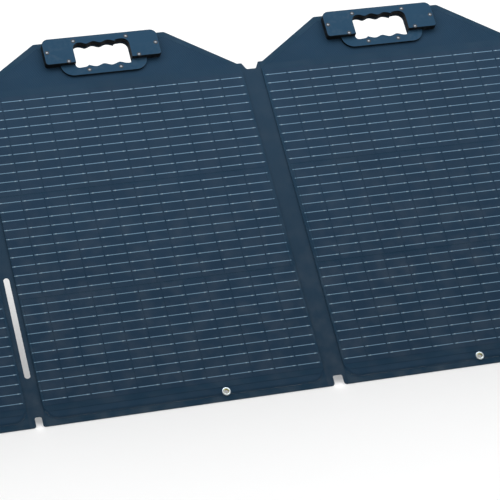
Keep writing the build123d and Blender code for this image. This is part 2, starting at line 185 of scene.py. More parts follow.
def leg_lay(side):
    """The open leg's own plane, from its board: its origin is on the pivot, and its out side faces the panel."""
    pivot = Vector(JOINTS[f"stand_{side}_fold"]["pos_m"])
    places = np.array([v.co for v in NODES[f"stand_board_{side}"].data.vertices])
    edge = 2.5 * MM
    top = places[places[:, 2] > places[:, 2].max() - edge].mean(0)
    foot = places[places[:, 2] < places[:, 2].min() + edge].mean(0)
    up = Vector((0, top[1] - foot[1], top[2] - foot[2])).normalized()
    return Lay(pivot, up, ACROSS.cross(up))


def face_loops(node, lay, facing, height=None):
    """Outlines of a CAD node's flat face, as lists of (across, up), the largest first."""
    mesh, tolerance = NODES[node].data, 0.2 * MM
    places, edges = {}, set()
    for face in mesh.polygons:
        if face.normal.dot(facing) < 0.99:
            continue
        if height is not None and abs(lay.read(face.center)[2] - height) > tolerance:
            continue
        corners = []
        for index in face.vertices:
            point = mesh.vertices[index].co
            key = tuple(round(c / (0.01 * MM)) for c in point)
            places[key] = lay.read(point)[:2]
            corners.append(key)
        for a, b in zip(corners, corners[1:] + corners[:1]):
            if (b, a) in edges:
                edges.remove((b, a))
            else:
                edges.add((a, b))
    after = dict(edges)
    loops = []
    while after:
        start, here = next(iter(sorted(after.items())))
        loop = [places[start]]
        del after[start]
        while here != start and here in after:
            loop.append(places[here])
            here = after.pop(here)
        loops.append(loop)
    loops.sort(key=lambda loop: -abs(area(loop)))
    return [loop if (area(loop) > 0) == (i == 0) else loop[::-1] for i, loop in enumerate(loops)]


def area(loop):
    p = np.array(loop)
    q = np.roll(p, -1, 0)
    return float((p[:, 0] * q[:, 1] - p[:, 1] * q[:, 0]).sum() / 2)


def divided(loop, step):
    """The loop with its long runs divided into even steps."""
    made = []
    for a, b in zip(loop, loop[1:] + loop[:1]):
        n = max(1, math.ceil(math.dist(a, b) / step))
        made += [tuple(np.array(a) + (np.array(b) - np.array(a)) * i / n) for i in range(n)]
    return made


def moved_in(loop, distance):
    """The loop moved square to itself, into the area it goes round."""
    p = np.array(loop)
    ahead = np.roll(p, -1, 0) - p
    ahead /= np.linalg.norm(ahead, axis=1)[:, None]
    back = np.roll(ahead, 1, 0)
    inward = np.stack([-ahead[:, 1] - back[:, 1], ahead[:, 0] + back[:, 0]], 1)
    inward /= np.maximum(1 + (ahead * back).sum(1), 0.3)[:, None]
    return [tuple(q) for q in p + inward * distance]


def inside(points, loop):
    x, y = points[:, 0][:, None], points[:, 1][:, None]
    a, b = np.array(loop), np.roll(np.array(loop), -1, 0)
    spans = (a[:, 1] > y) != (b[:, 1] > y)
    rise = np.where(b[:, 1] == a[:, 1], 1e-12, b[:, 1] - a[:, 1])
    return (spans & (x < a[:, 0] + (y - a[:, 1]) * (b[:, 0] - a[:, 0]) / rise)).sum(1) % 2 == 1


def depth_in(points, loop):
    """How far each point is inside the loop; negative outside it."""
    a, b = np.array(loop), np.roll(np.array(loop), -1, 0)
    run = b - a
    share = ((points[:, None] - a) * run).sum(2) / np.maximum((run**2).sum(1), 1e-18)
    near = a + np.clip(share, 0, 1)[:, :, None] * run
    distance = np.linalg.norm(points[:, None] - near, axis=2).min(1)
    return np.where(inside(points, loop), distance, -distance)


def eased(values, low, high):
    t = np.clip((values - low) / (high - low), 0, 1)
    return t * t * (3 - 2 * t)


# ---- mesh makers -----------------------------------------------------------------------------------------------------


def new_piece(name, lay, points, faces, material, smooth=True, face_materials=None):
    """A mesh laid out in the row frame. It keeps its flat-cut place in an attribute, which its weave follows."""
    points = np.asarray(points, float)
    mesh = bpy.data.meshes.new(name)
    mesh.from_pydata([tuple(p) for p in lay.put(points)], [], [tuple(int(i) for i in f) for f in faces])
    cut = mesh.attributes.new("cut", "FLOAT_VECTOR", "POINT")
    cut.data.foreach_set("vector", points.astype(np.float32).ravel())
    for one in material if isinstance(material, (list, tuple)) else [material]:
        mesh.materials.append(one)
    if face_materials is not None:
        mesh.polygons.foreach_set("material_index", np.asarray(face_materials, np.int32))
    mesh.polygons.foreach_set("use_smooth", [smooth] * len(mesh.polygons))
    mesh.validate()
    mesh.update()
    obj = bpy.data.objects.new(name, mesh)
    bpy.context.scene.collection.objects.link(obj)
    kit_collection().objects.link(obj)
    if smooth:
        sharpen(obj)
    return obj


def sharpen(obj, angle=35):
    bpy.context.view_layer.objects.active = obj
    obj.data.set_sharp_from_angle(angle=math.radians(angle))


def cut_sheet(outer, holes=(), guides=(), columns=(), rows=()):
    """Fills an outline, less its holes, with triangles whose edges follow the guides."""
    points, edges = [], []
    for loop in [outer, *holes, *guides]:
        first = len(points)
        points += [tuple(p) for p in loop]
        edges += [(first + i, first + (i + 1) % len(loop)) for i in range(len(loop))]
    lines = np.array(points)
    grid = np.array([(x, y) for x in columns for y in rows]).reshape(-1, 2)
    if len(grid):
        clear = inside(grid, outer)
        for hole in holes:
            clear &= ~inside(grid, hole)
        near = np.full(len(grid), np.inf)
        for start in range(0, len(lines), 64):
            block = lines[start : start + 64]
            near = np.minimum(near, np.linalg.norm(grid[:, None] - block, axis=2).min(1))
        points += [tuple(p) for p in grid[clear & (near > 0.45 * MM)]]
    found = delaunay_2d_cdt([Vector(p) for p in points], edges, [], 0, 1e-7)
    places = np.array([tuple(p) for p in found[0]])
    triangles = np.array(found[2])
    middle = places[triangles].mean(1)
    keep = inside(middle, outer)
    for hole in holes:
        keep &= ~inside(middle, hole)
    triangles = triangles[keep]
    a, b, c = (places[triangles[:, i]] for i in range(3))
    turned = (b[:, 0] - a[:, 0]) * (c[:, 1] - a[:, 1]) - (b[:, 1] - a[:, 1]) * (c[:, 0] - a[:, 0]) < 0
    triangles[turned] = triangles[turned][:, ::-1]
    used, triangles = np.unique(triangles, return_inverse=True)
    return places[used], triangles.reshape(-1, 3)


def slab(name, lay, cut, top, bottom, material, tone=None):
    """A closed sheet or board: the cut's front at height top and its back at height bottom, joined by a rim."""
    places, triangles = cut
    count = len(places)
    front = np.column_stack([places, top(places)])
    back = np.column_stack([places, bottom(places)])
    used = {(a, b) for t in triangles for a, b in ((t[0], t[1]), (t[1], t[2]), (t[2], t[0]))}
    rim = [(b, a, a + count, b + count) for a, b in sorted(used) if (b, a) not in used]
    faces = [*triangles, *(triangles[:, ::-1] + count), *rim]
    tones = None
    if tone is not None:
        flat = np.array([tone(places[t].mean(0)[None])[0] for t in triangles], int)
        tones = [*flat, *flat, *[0] * len(rim)]
    return new_piece(name, lay, np.vstack([front, back]), faces, material, face_materials=tones)


def bars(name, lay, rows, material, slope=0.25):
    """Many small bars in one mesh. A row is across, up, height, half length, half width, rise and angle."""
    rows = np.array(rows, float)
    corner = np.array([(-1, -1), (1, -1), (1, 1), (-1, 1)])
    points = []
    for level, shrink in ((0, 1.0), (1, 1 - slope)):
        x = corner[:, 0] * (rows[:, 3:4] - (1 - shrink) * rows[:, 4:5])
        y = corner[:, 1] * rows[:, 4:5] * shrink
        c, s = np.cos(rows[:, 6:7]), np.sin(rows[:, 6:7])
        z = np.repeat(rows[:, 2:3] + level * rows[:, 5:6], 4, 1)
        points.append(np.stack([rows[:, 0:1] + x * c - y * s, rows[:, 1:2] + x * s + y * c, z], 2))
    points = np.concatenate(points, 1).reshape(-1, 3)
    box = np.array([(3, 2, 1, 0), (4, 5, 6, 7), (0, 1, 5, 4), (1, 2, 6, 5), (2, 3, 7, 6), (3, 0, 4, 7)])
    faces = (box[None] + 8 * np.arange(len(rows))[:, None, None]).reshape(-1, 4)
    return new_piece(name, lay, points, faces, material, smooth=False)


def turned_rings(name, lay, spots, profile, material, segments=28, closed=False):
    """Turned pieces in one mesh: a profile of (radius, height) spun at each (across, up, height) spot."""
    angles = np.linspace(0, 2 * math.pi, segments, endpoint=False)
    points, faces = [], []
    for across, up, height in spots:
        rings = []
        for radius, rise in profile:
            first = len(points)
            if radius < 1e-7:
                points.append((across, up, height + rise))
                rings.append([first] * segments)
            else:
                points += [(across + radius * math.cos(a), up + radius * math.sin(a), height + rise) for a in angles]
                rings.append(list(range(first, first + segments)))
        pairs = list(zip(rings, rings[1:])) + ([(rings[-1], rings[0])] if closed else [])
        for low, high in pairs:
            for i in range(segments):
                j = (i + 1) % segments
                face = [low[i], low[j], high[j], high[i]]
                faces.append([v for n, v in enumerate(face) if v not in face[:n]])
    return new_piece(name, lay, points, faces, material)


def stitch_rows(path, height, step=4.2 * MM):
    """Stitches along an open or closed path of (across, up)."""
    rows = []
    for a, b in zip(path, path[1:]):
        run = math.dist(a, b)
        count = max(1, round(run / step))
        angle = math.atan2(b[1] - a[1], b[0] - a[0])
        for i in range(count):
            share = (i + 0.5) / count
            rows.append(
                (
                    a[0] + (b[0] - a[0]) * share, a[1] + (b[1] - a[1]) * share, height,
                    sizes().stitch / 2, 0.35 * MM, -0.3 * MM if height <= 0 else 0.3 * MM, angle,
                )
            )
    return rows


def soften_cad(node, width=0.5 * MM):
    """Rounds a moulded CAD piece's edges with modifiers, and leaves its mesh alone."""
    obj = NODES[node]
    weld = obj.modifiers.new("weld", "WELD")
    weld.merge_threshold = 0.005 * MM
    bevel = obj.modifiers.new("soft edges", "BEVEL")
    bevel.width, bevel.segments, bevel.limit_method = width, 2, "ANGLE"
    bevel.angle_limit = math.radians(40)
    bevel.harden_normals = True


def finish_cad(node, material):
    obj = NODES[node]
    obj.data.materials.clear()
    obj.data.materials.append(material)


# ---- shared effects and finishes -------------------------------------------------------------------------------------


def effect(name, inputs, outputs):
    """A new shader node group with named sockets. Returns it with its nodes' maker and its two ends."""
    group = bpy.data.node_groups.new(name, "ShaderNodeTree")
    kinds = {"value": "NodeSocketFloat", "vector": "NodeSocketVector", "colour": "NodeSocketColor"}
    for label, kind, default in inputs:
        socket = group.interface.new_socket(label, in_out="INPUT", socket_type=kinds[kind])
        if default is not None:
            socket.default_value = default
    for label, kind in outputs:
        group.interface.new_socket(label, in_out="OUTPUT", socket_type=kinds[kind])
    return group, group.nodes.new("NodeGroupInput"), group.nodes.new("NodeGroupOutput")


def wire_up(tree, kind, inputs=None, **settings):
    """Adds a node, sets its settings, and joins or sets its inputs by name or number."""
    node = tree.nodes.new(kind)
    for key, value in settings.items():
        setattr(node, key, value)
    for key, value in (inputs or {}).items():
        if isinstance(value, bpy.types.NodeSocket):
            tree.links.new(value, node.inputs[key])
        else:
            node.inputs[key].default_value = value
    return node


def sum_up(tree, operation, *values, clamp=False):
    return wire_up(tree, "ShaderNodeMath", dict(enumerate(values)), operation=operation, use_clamp=clamp).outputs[0]


def blend_colours(tree, factor, a, b, kind="MIX"):
    node = wire_up(tree, "ShaderNodeMix", {0: factor}, data_type="RGBA", blend_type=kind)
    for index, value in ((6, a), (7, b)):
        if isinstance(value, bpy.types.NodeSocket):
            tree.links.new(value, node.inputs[index])
        else:
            node.inputs[index].default_value = (*value, 1) if len(value) == 3 else value
    return node.outputs[2]


def make_weave():
    """Woven cloth: crossed threads, a diagonal twill streak, and slow changes of shade."""
    group, ends, out = effect(
        "woven cloth",
        [("Place", "vector", None), ("Thread", "value", 0.6), ("Streak", "value", 0.3),
         ("Shade", "colour", (0, 0, 0, 1)), ("Light Shade", "colour", (1, 1, 1, 1)), ("Cloud", "value", 0.3)],
        [("Colour", "colour"), ("Height", "value"), ("Roughness", "value")],
    )
    place, thread = ends.outputs["Place"], ends.outputs["Thread"]
    split = wire_up(group, "ShaderNodeSeparateXYZ", {0: place})
    turn = sum_up(group, "DIVIDE", 2 * math.pi * 0.001 ** -1, thread)
    warp = sum_up(group, "SINE", sum_up(group, "MULTIPLY", split.outputs[0], turn))
    weft = sum_up(group, "SINE", sum_up(group, "MULTIPLY", split.outputs[1], turn))
    woven = sum_up(group, "MULTIPLY", warp, weft)
    diagonal = sum_up(group, "ADD", split.outputs[0], sum_up(group, "MULTIPLY", split.outputs[1], 0.55))
    wander = wire_up(group, "ShaderNodeTexNoise", {"Vector": place, "Scale": 90.0, "Detail": 3.0})
    phase = sum_up(
        group, "ADD", sum_up(group, "MULTIPLY", diagonal, 1650.0),
        sum_up(group, "MULTIPLY", wander.outputs["Fac"], 7.0),
    )
    streak = sum_up(group, "POWER", sum_up(group, "MULTIPLY_ADD", sum_up(group, "SINE", phase), 0.5, 0.5), 2.5)
    cloud = wire_up(group, "ShaderNodeTexNoise", {"Vector": place, "Scale": 9.0, "Detail": 4.0, "Roughness": 0.6})
    fleck = wire_up(group, "ShaderNodeTexNoise", {"Vector": place, "Scale": 420.0, "Detail": 2.0})
    mixed = sum_up(
        group, "ADD",
        sum_up(group, "MULTIPLY", streak, ends.outputs["Streak"]),
        sum_up(
            group, "ADD",
            sum_up(group, "MULTIPLY", cloud.outputs["Fac"], ends.outputs["Cloud"]),
            sum_up(group, "MULTIPLY", sum_up(group, "MULTIPLY_ADD", fleck.outputs["Fac"], 1.0, woven), 0.12),
        ),
        clamp=True,
    )
    shade = blend_colours(group, mixed, ends.outputs["Shade"], ends.outputs["Light Shade"])
    height = sum_up(group, "MULTIPLY_ADD", woven, 0.5, sum_up(group, "MULTIPLY", streak, 0.6))
    rough = sum_up(group, "MULTIPLY_ADD", fleck.outputs["Fac"], 0.2, sum_up(group, "MULTIPLY_ADD", woven, 0.05, 0.5))
    for value, name in ((shade, "Colour"), (height, "Height"), (rough, "Roughness")):
        group.links.new(value, out.inputs[name])
    return group


def make_grain():
    """Fine moulded or cast grain, with a little patchiness."""
    group, ends, out = effect(
        "moulded grain",
        [("Place", "vector", None), ("Fineness", "value", 900.0), ("Base", "value", 0.5)],
        [("Height", "value"), ("Roughness", "value"), ("Patches", "value")],
    )
    place = ends.outputs["Place"]
    fine = wire_up(group, "ShaderNodeTexNoise", {"Vector": place, "Scale": ends.outputs["Fineness"], "Detail": 3.0})
    cells = wire_up(group, "ShaderNodeTexVoronoi", {"Vector": place, "Scale": ends.outputs["Fineness"]})
    slow = wire_up(group, "ShaderNodeTexNoise", {"Vector": place, "Scale": 22.0, "Detail": 4.0})
    height = sum_up(group, "ADD", fine.outputs["Fac"], sum_up(group, "MULTIPLY", cells.outputs["Distance"], 0.5))
    rough = sum_up(group, "ADD", ends.outputs["Base"], sum_up(group, "MULTIPLY_ADD", slow.outputs["Fac"], 0.16, -0.08))
    for value, name in ((height, "Height"), (rough, "Roughness"), (slow.outputs["Fac"], "Patches")):
        group.links.new(value, out.inputs[name])
    return group


def make_wear():
    """Lighter, rubbed edges."""
    group, ends, out = effect(
        "rubbed edges",
        [("Place", "vector", None), ("Amount", "value", 0.5), ("Colour", "colour", (0, 0, 0, 1)),
         ("Rubbed", "colour", (1, 1, 1, 1))],
        [("Colour", "colour"), ("Mask", "value")],
    )
    shape = wire_up(group, "ShaderNodeNewGeometry")
    sharp = wire_up(group, "ShaderNodeMapRange", {0: shape.outputs["Pointiness"], 1: 0.52, 2: 0.62})
    spots = wire_up(group, "ShaderNodeTexNoise", {"Vector": ends.outputs["Place"], "Scale": 160.0, "Detail": 4.0})
    patchy = wire_up(group, "ShaderNodeMapRange", {0: spots.outputs["Fac"], 1: 0.4, 2: 0.65})
    mask = sum_up(
        group, "MULTIPLY", sum_up(group, "MULTIPLY", sharp.outputs[0], patchy.outputs[0]), ends.outputs["Amount"],
        clamp=True,
    )
    group.links.new(blend_colours(group, mask, ends.outputs["Colour"], ends.outputs["Rubbed"]), out.inputs["Colour"])
    group.links.new(mask, out.inputs["Mask"])
    return group


def make_dust():
    """Thin pale dust, thicker near the ground."""
    group, ends, out = effect(
        "ground dust",
        [("Place", "vector", None), ("Amount", "value", 0.1), ("Colour", "colour", (0, 0, 0, 1))],
        [("Colour", "colour"), ("Mask", "value")],
    )
    split = wire_up(group, "ShaderNodeSeparateXYZ", {0: ends.outputs["Place"]})
    low = wire_up(group, "ShaderNodeMapRange", {0: split.outputs[1], 1: 0.30, 2: 0.0, 3: 0.25, 4: 1.0})
    drift = wire_up(group, "ShaderNodeTexNoise", {"Vector": ends.outputs["Place"], "Scale": 34.0, "Detail": 6.0})
    patchy = wire_up(group, "ShaderNodeMapRange", {0: drift.outputs["Fac"], 1: 0.42, 2: 0.75})
    mask = sum_up(
        group, "MULTIPLY", sum_up(group, "MULTIPLY", low.outputs[0], patchy.outputs[0]), ends.outputs["Amount"],
        clamp=True,
    )
    group.links.new(blend_colours(group, mask, ends.outputs["Colour"], (0.32, 0.31, 0.29)), out.inputs["Colour"])
    group.links.new(mask, out.inputs["Mask"])
    return group


EFFECTS = {"weave": make_weave, "grain": make_grain, "wear": make_wear, "dust": make_dust}


class Finish:
    """One finish in the making: a material with its surface shader, and where its pattern lies."""

    def __init__(self, name, on_cad=False, **surface):
        self.material = bpy.data.materials.new(name)
        self.material.use_nodes = True
        self.tree = self.material.node_tree
        self.shader = self.tree.nodes["Principled BSDF"]
        for key, value in surface.items():
            self.shader.inputs[key.replace("_", " ").title().replace("Ior", "IOR")].default_value = value
        if on_cad:
            source = wire_up(self.tree, "ShaderNodeTexCoord").outputs["Object"]
            self.place = wire_up(
                self.tree, "ShaderNodeMapping", {"Vector": source, "Rotation": (-TILT, 0, 0)}
            ).outputs[0]
        else:
            self.place = wire_up(self.tree, "ShaderNodeAttribute", attribute_name="cut").outputs["Vector"]

    def use(self, name, **values):
        group = bpy.data.node_groups.get(EFFECT_NAMES[name]) or EFFECTS[name]()
        node = wire_up(self.tree, "ShaderNodeGroup", node_tree=group)
        self.tree.links.new(self.place, node.inputs["Place"])
        for key, value in values.items():
            socket = node.inputs[key.replace("_", " ").title()]
            if isinstance(value, bpy.types.NodeSocket):
                self.tree.links.new(value, socket)
            elif isinstance(value, (int, float)):
                socket.default_value = value
            else:
                socket.default_value = (*value, 1)
        return node.outputs

    def feed(self, **sockets):
        for key, value in sockets.items():
            self.tree.links.new(value, self.shader.inputs[key.replace("_", " ").title()])
        return self

    def raise_by(self, height, distance, strength=1.0):
        bump = wire_up(self.tree, "ShaderNodeBump", {"Height": height, "Distance": distance, "Strength": strength})
        return self.feed(Normal=bump.outputs[0])


EFFECT_NAMES = {"weave": "woven cloth", "grain": "moulded grain", "wear": "rubbed edges", "dust": "ground dust"}


def shades(base, spread):
    return [c * (1 - spread) for c in base], [min(1, c * (1 + spread) + 0.002) for c in base]


def cloth(name, base, thread=0.7, streak=0.3, spread=0.28, cloud=0.45, depth=0.12, dust=0.05, on_cad=False,
          specular=0.02, sheen=0.0):
    made = Finish(name, on_cad, specular_ior_level=specular, sheen_weight=sheen, sheen_roughness=0.5)
    dark, light = shades(base, spread)
    woven = made.use("weave", thread=thread, streak=streak, shade=dark, light_shade=light, cloud=cloud)
    dusty = made.use("dust", amount=dust, colour=woven["Colour"])
    made.feed(Base_Color=dusty["Colour"], Roughness=woven["Roughness"])
    made.raise_by(woven["Height"], depth * MM, 0.5)
    return made.material


def plastic(name, base, base_roughness=0.5, fineness=900.0, wear=0.35, depth=0.05, on_cad=True, specular=0.3,
            edge=None, rubbed=0.06, dust=0.04, patches=0.12):
    made = Finish(name, on_cad, specular_ior_level=specular)
    grain = made.use("grain", fineness=fineness, base=base_roughness)
    dark, light = shades(base, patches)
    tone = blend_colours(made.tree, grain["Patches"], dark, light)
    # Where edge is given, faces that don't look out get that colour as painted shade on the sides; the faces that look
    # out keep the tone.
    if edge is not None:
        shape = wire_up(made.tree, "ShaderNodeNewGeometry")
        facing = wire_up(
            made.tree, "ShaderNodeVectorMath", {0: shape.outputs["Normal"], 1: tuple(OUT)}, operation="DOT_PRODUCT"
        )
        flat = wire_up(made.tree, "ShaderNodeMapRange", {0: facing.outputs["Value"], 1: 0.75, 2: 0.95})
        tone = blend_colours(made.tree, flat.outputs[0], edge, tone)
    worn = made.use("wear", amount=wear, colour=tone, rubbed=[min(1, c + rubbed) for c in base])
    dusty = made.use("dust", amount=dust, colour=worn["Colour"])
    made.feed(Base_Color=dusty["Colour"], Roughness=grain["Roughness"]).raise_by(grain["Height"], depth * MM, 0.6)
    return made.material


def metal(name, base, roughness=0.28, on_cad=False):
    made = Finish(name, on_cad, metallic=1.0)
    grain = made.use("grain", fineness=500.0, base=roughness)
    dark, light = shades(base, 0.12)
    worn = made.use("wear", amount=0.5, rubbed=[min(1, c * 1.2) for c in base],
                    colour=blend_colours(made.tree, grain["Patches"], dark, light))
    made.feed(Base_Color=worn["Colour"], Roughness=grain["Roughness"]).raise_by(grain["Height"], 0.01 * MM, 0.4)
    return made.material


def film(name, base, streak, spread=0.32, roughness_note=0.35, on_cad=True, specular=0.3):
    """The frosted clear film over the cells and the sheet round them."""
    made = Finish(name, on_cad, specular_ior_level=specular)
    dark, light = shades(base, spread)
    woven = made.use("weave", thread=1.5, streak=streak, shade=dark, light_shade=light, cloud=0.5)
    grain = made.use("grain", fineness=650.0, base=roughness_note)
    dusty = made.use("dust", amount=0.03, colour=woven["Colour"])
    made.feed(Base_Color=dusty["Colour"], Roughness=grain["Roughness"]).raise_by(woven["Height"], 0.03 * MM, 0.5)
    return made.material


def finishes():
    """Every finish by name, made once."""
    if FINISHES:
        return FINISHES
    c = colours()
    FINISHES.update(
        panel=cloth("panel cloth", c.panel, thread=0.9, streak=0.5, spread=0.34, dust=0.02),
        hem=cloth("pressed hem", c.hem, thread=0.9, streak=0.1, spread=0.15, dust=0.06),
        hinge=cloth("hinge cloth", c.hinge, thread=0.8, streak=0.18, spread=0.2, dust=0.05),
        back=cloth("back cloth", c.back, thread=1.0, streak=0.25, dust=0.04, specular=0.25),
        stand=cloth("stand cloth", c.stand, thread=1.0, streak=0.1, dust=0.03, specular=0.25),
        pouch=cloth("pouch cloth", c.stand, thread=1.2, streak=0.0, spread=0.35, depth=0.2, dust=0.05, specular=0.25),
        webbing=cloth("webbing", c.black, thread=1.6, streak=0.0, spread=0.4, depth=0.3, dust=0.06, specular=0.25),
        field=film("field sheet", c.field, 0.4, specular=0.015),
        cell=film("cell film", c.cell, 0.12, roughness_note=0.45, specular=0.02),
        wire=plastic("filmed wire", c.wire, 0.45, on_cad=False, wear=0, depth=0.01, specular=0.02),
        pad=plastic("filmed solder", c.pad, 0.4, on_cad=False, wear=0, depth=0.01, specular=0.02),
        ribbon=plastic("filmed ribbon", c.field, 0.45, wear=0, depth=0.01, specular=0.02),
        core=plastic("core board", (0.55, 0.55, 0.48), 0.6, wear=0),
        # The grips' faces carry a painted sky reflection, and their other sides carry painted shade.
        grip=plastic("grip plastic", c.grip, 0.62, fineness=1100.0, wear=0.1, depth=0.08, edge=c.grip_painted_shade,
                     specular=0.03, dust=0.005, patches=0.05),
        # Near-black rings of painted shade round the rivet heads.
        recess=plastic("painted rivet shade", c.grip_painted_shade, 0.5, on_cad=False),
        steel=metal("bright metal", c.metal),
        rivet=metal("rivet metal", c.rivet, 0.4),
        brass=metal("eyelet brass", c.brass, 0.35),
        rubber=plastic("foot rubber", c.black, 0.75, fineness=500.0, depth=0.12, wear=0.5),
        box=plastic("box plastic", c.black, 0.48, fineness=1300.0, depth=0.06, wear=0.5),
        thread=cloth("sewing thread", c.thread, thread=0.5, streak=0.0, spread=0.4, depth=0.1, dust=0.0),
        zip=plastic("zip teeth", c.black, 0.4, on_cad=False, wear=0.8),
    )
    return FINISHES


FINISHES = {}


# ---- the operators, one for each piece or group of like pieces -------------------------------------------------------


class SOLARKIT_OT_stage(bpy.types.Operator):
    """Set out the camera, the pale floor and the soft studio light"""

    bl_idname = "solarkit.stage"
    bl_label = "Stage"
    bl_options = {"REGISTER", "UNDO"}

    def execute(self, context):
        scene = bpy.context.scene
        camera = bpy.data.objects.new("camera", bpy.data.cameras.new("camera"))
        camera.data.lens, camera.data.sensor_width = 186.6, 36.0
        camera.data.clip_end = 100.0
        azimuth, elevation, distance = math.radians(-17.7625), math.radians(23.0273), 4.2634
        target = Vector((-0.0637, 0.0, 0.1361))
        away = Vector(
            (
                math.sin(azimuth) * math.cos(elevation),
                -math.cos(azimuth) * math.cos(elevation),
                math.sin(elevation),
            )
        )
        camera.location = target + away * distance
        camera.rotation_euler = (-away).to_track_quat("-Z", "Y").to_euler()
        scene.collection.objects.link(camera)
        scene.camera = camera

        floor = Lay((0, 0, 0), (0, 1, 0), (0, 0, 1))
        reach = 12.0
        made = Finish("studio floor", specular_ior_level=0.1)
        grain = made.use("grain", fineness=60.0, base=0.9)
        base = colours().floor
        made.feed(
            Base_Color=blend_colours(made.tree, grain["Patches"], [v * 0.995 for v in base], [v * 1.005 for v in base]),
            Roughness=grain["Roughness"],
        )
        cut = cut_sheet([(-reach, -reach), (reach, -reach), (reach, reach), (-reach, reach)])
        plate = slab("studio_floor", floor, cut, lambda p: np.zeros(len(p)), lambda p: np.full(len(p), -0.01),
                     made.material)
        kit_collection().objects.unlink(plate)

        world = bpy.data.worlds.new("studio air")
        world.use_nodes = True
        world.node_tree.nodes["Background"].inputs["Color"].default_value = (1.0, 1.0, 1.0, 1)
        world.node_tree.nodes["Background"].inputs["Strength"].default_value = 1.0
        scene.world = world
        over = bpy.data.lights.new("soft_over", "AREA")
        over.shape, over.size, over.size_y, over.energy = "RECTANGLE", 2.6, 0.6, 24.5
        over.color = (0.90, 0.96, 1.0)
        behind = bpy.data.lights.new("soft_behind", "SUN")
        behind.angle, behind.energy = math.radians(50), 2.1
        lamps = ((over, (0.0, 0.15, 1.18), (0.0, 0.2, 0.4)), (behind, (0.5, 2.2, 1.0), (0.0, 0.0, 0.0)))
        for lamp, place, aim in lamps:
            obj = bpy.data.objects.new(lamp.name, lamp)
            obj.location = place
            obj.rotation_euler = (Vector(aim) - Vector(place)).to_track_quat("-Z", "Y").to_euler()
            scene.collection.objects.link(obj)
            if lamp == over:
                over_kit = obj
        over_kit.light_linking.receiver_collection = kit_collection()
        scene.view_settings.view_transform = "Standard"
        return {"FINISHED"}


class SOLARKIT_OT_covers(bpy.types.Operator):
    """Cut and press the front and back cloth covers of the four panels"""

    bl_idname = "solarkit.covers"
    bl_label = "Cloth covers"
    bl_options = {"REGISTER", "UNDO"}

    def execute(self, context):
        ridge = sizes().ridge
        for k in PANELS:
            lay = panel_lay(k)
            outer, *holes = face_loops(f"back_cover_{k}", lay, -OUT)
            plateau_height = max(lay.read(v.co)[2] for v in NODES[f"front_cover_{k}"].data.vertices)
            field = face_loops(f"front_cover_{k}", lay, OUT, plateau_height)[0]
            hem_height = 2 * COVER
            outer = divided(outer, 14 * MM)
            holes = [divided(hole, 6 * MM) for hole in holes]
            field = divided(field, 14 * MM)
            guides = [moved_in(field, depth * MM) for depth in (0, 0.5, 1.0, 1.5, 2.1, 3.2, 4.6, 6.0, 8.0)]
            steps = np.arange(-0.22, 0.221, 0.02)
            cut = cut_sheet(outer, holes, guides, steps, np.arange(0.03, 0.68, 0.02))

            def front(p, field=field, outer=outer, high=plateau_height, hem=hem_height):
                depth = depth_in(p, field) / MM
                rim = depth_in(p, outer) / MM
                soft = 1.1 + 4.9 * (1 - eased(p[:, 1] / MM, 24.0, 40.0))
                climb, fall = eased(depth, 0.0, soft), eased(depth, 0.5 + soft, 2.1 + soft)
                rise = hem + (ridge - hem) * climb - (ridge - high) * fall
                return rise - 0.25 * MM * (1 - eased(rim, 0.0, 1.2))

            def lining(p, front=front, hem=hem_height):
                return np.maximum(front(p) - COVER, hem - COVER - 0.05 * MM)

            def tone(p, field=field):
                return (depth_in(p, field) > 0.5 * MM).astype(int)

            made = finishes()
            cover = slab(f"front_cloth_{k}", lay, cut, front, lining, [made["hem"], made["panel"]], tone)
            flat = abs(area(outer)) - sum(abs(area(hole)) for hole in holes)
            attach(cover, f"panel_{k}")
            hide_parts(f"front_cover_{k}")

            guides = [moved_in(outer, depth * MM) for depth in (1.2, 5.8, 6.4, 7.0, 7.6, 8.2)]
            cut = cut_sheet(outer, holes, guides, np.arange(-0.2, 0.201, 0.04), np.arange(0.04, 0.6, 0.04))

            def rear(p, outer=outer):
                rim = depth_in(p, outer) / MM
                groove = np.exp(-((rim - 7.0) / 0.8) ** 2)
                return 0.3 * MM * (1 - eased(rim, 0.0, 1.2)) + 0.35 * MM * groove

            back = slab(f"back_cloth_{k}", lay, cut, lambda p, rear=rear: rear(p) + COVER, rear, made["back"])
            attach(back, f"panel_{k}")
            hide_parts(f"back_cover_{k}")
            finish_cad(f"core_board_{k}", made["core"])
        return {"FINISHED"}


# how the wires lie on a cell, along the way that they run
WIRE_START, WIRE_END = 0.4 * MM, 1.2 * MM      # from the cell's two edges
WIRE_OVERRUN = 1.0 * MM                        # past the last cell of a row, onto its ribbon
STUB_BEFORE, STUB_HALF = 1.7 * MM, 1.6 * MM    # the short piece before the first cell
PAD_BEFORE_END = 2.6 * MM
WIRE_CROWDING = 0.175                          # mm that each wire is nearer to the middle one


